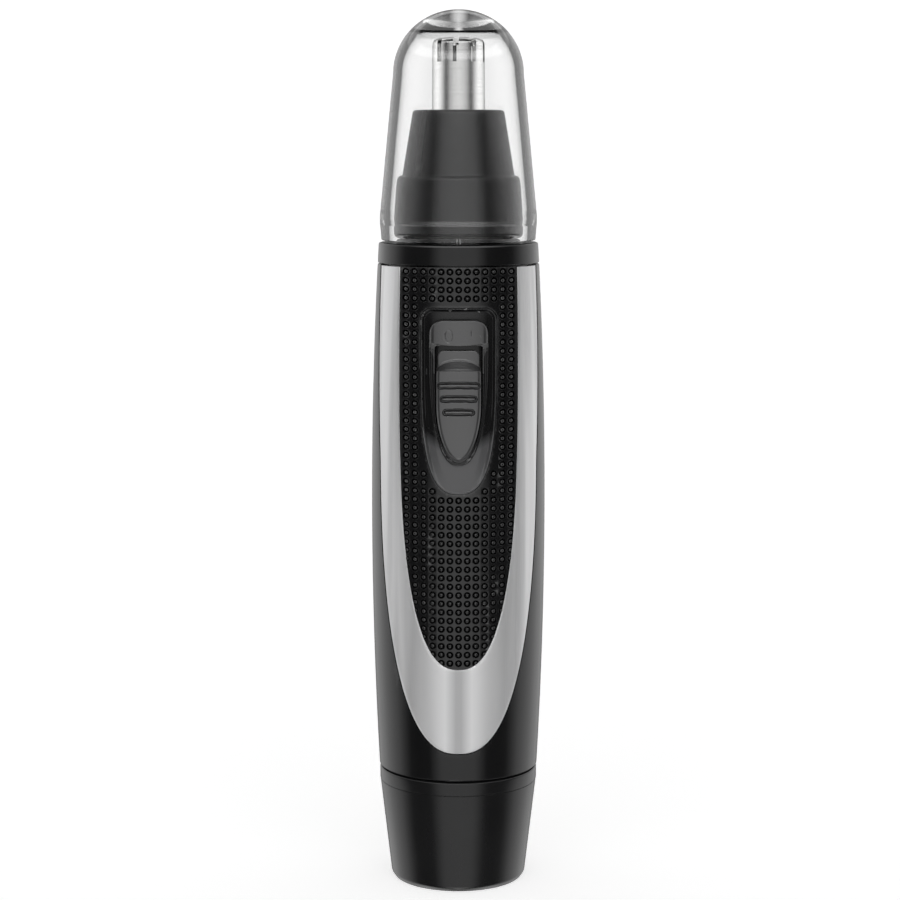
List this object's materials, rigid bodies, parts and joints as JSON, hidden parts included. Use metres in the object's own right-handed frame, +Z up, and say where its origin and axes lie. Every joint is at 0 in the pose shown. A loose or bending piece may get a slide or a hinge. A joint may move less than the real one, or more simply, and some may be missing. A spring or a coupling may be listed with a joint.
{
  "type": "nose hair trimmer",
  "caption": "Battery nose and ear hair trimmer: barrel body with grip pad and slide switch, slotted steel guard, clear cover and twist-off battery cap.",
  "frame": {"origin": "centre of the flat base of the battery cap, on the body's long axis", "axes": "+Z up along the body towards the clear cover, -Y towards the switch, +X to the right seen from the switch side"},
  "size_m": [0.0262, 0.0273, 0.1317],
  "materials": {
    "clear_plastic": "clear, glossy moulded plastic",
    "gloss_black": "glossy moulded plastic",
    "satin_black": "satin moulded plastic",
    "satin_silver": "satin silver, brushed along its length",
    "grip_rubber": "matt rubber with raised dots",
    "switch_grey": "satin moulded plastic",
    "blade_steel": "polished stainless steel",
    "spring_steel": "drawn steel",
    "contact_nickel": "nickel-plated sheet",
    "inner_plastic": "natural white moulded plastic",
    "seal_rubber": "matt rubber",
    "cell_jacket": "plain printed film over a steel can",
    "magnet_grey": "sintered ferrite",
    "copper_winding": "enamelled copper on steel laminations"
  },
  "bodies": {
    "handle": {"body_housing": "gloss_black", "chassis": "inner_plastic", "collar_ring": "gloss_black", "front_trim": "satin_silver", "grip_pad": "grip_rubber", "switch_bezel": "satin_black", "switch_frame": "switch_grey", "motor_can": "contact_nickel", "motor_end_bell": "satin_black", "motor_magnet_left": "magnet_grey", "motor_magnet_right": "magnet_grey", "motor_terminal_left": "contact_nickel", "motor_terminal_right": "contact_nickel", "negative_strip": "contact_nickel", "positive_contact": "contact_nickel", "switch_contact": "contact_nickel"},
    "head_lock": {"head_seal": "seal_rubber"},
    "head": {"head_shroud": "gloss_black", "guard_tube": "blade_steel", "head_insert": "inner_plastic"},
    "cover": {"protective_cap": "clear_plastic"},
    "cutter": {"cutter_spindle": "inner_plastic", "cutter_blade": "blade_steel", "cutter_spring": "spring_steel", "spring_washer": "blade_steel"},
    "rotor": {"motor_shaft": "spring_steel", "motor_armature": "copper_winding", "drive_dog": "inner_plastic"},
    "slider": {"switch_slider": "switch_grey", "slider_contact": "contact_nickel"},
    "cap_lock": {"battery_cap_seal": "seal_rubber"},
    "battery_door": {"battery_cap": "satin_black", "cap_contact_cup": "contact_nickel", "cap_spring": "spring_steel"},
    "cell": {"aa_cell": "cell_jacket"}
  },
  "joints": [
    {"name": "head_twist", "type": "hinge", "parent": "handle", "child": "head_lock", "pos_m": [0, 0, 0.0988], "axis": [0, 0, 1], "range_deg": [0, 25]},
    {"name": "head_lift", "type": "slide", "parent": "head_lock", "child": "head", "axis": [0, 0, 1], "range_m": [0, 0.03]},
    {"name": "cover_pull", "type": "slide", "parent": "head", "child": "cover", "axis": [0, 0, 1], "range_m": [0, 0.04]},
    {"name": "cutter_spin", "type": "hinge", "parent": "head", "child": "cutter", "pos_m": [0, 0, 0.11], "axis": [0, 0, 1], "continuous": true},
    {"name": "motor_spin", "type": "hinge", "parent": "handle", "child": "rotor", "pos_m": [0, 0, 0.075], "axis": [0, 0, 1], "continuous": true},
    {"name": "switch_slide", "type": "slide", "parent": "handle", "child": "slider", "axis": [0, 0, 1], "range_m": [0, 0.002]},
    {"name": "battery_cap_twist", "type": "hinge", "parent": "cap_lock", "child": "handle", "pos_m": [0, 0, 0.014], "axis": [0, 0, -1], "range_deg": [0, 30]},
    {"name": "battery_cap_pull", "type": "slide", "parent": "battery_door", "child": "cap_lock", "axis": [0, 0, 1], "range_m": [0, 0.055]},
    {"name": "cell_slide", "type": "slide", "parent": "handle", "child": "cell", "axis": [0, 0, -1], "range_m": [0, 0.055]}
  ],
  "couplings": [
    {"joint": "cutter_spin", "follows": "motor_spin", "ratio": 1},
    {"joint": "cell_slide", "follows": "battery_cap_pull", "ratio": 1}
  ]
}
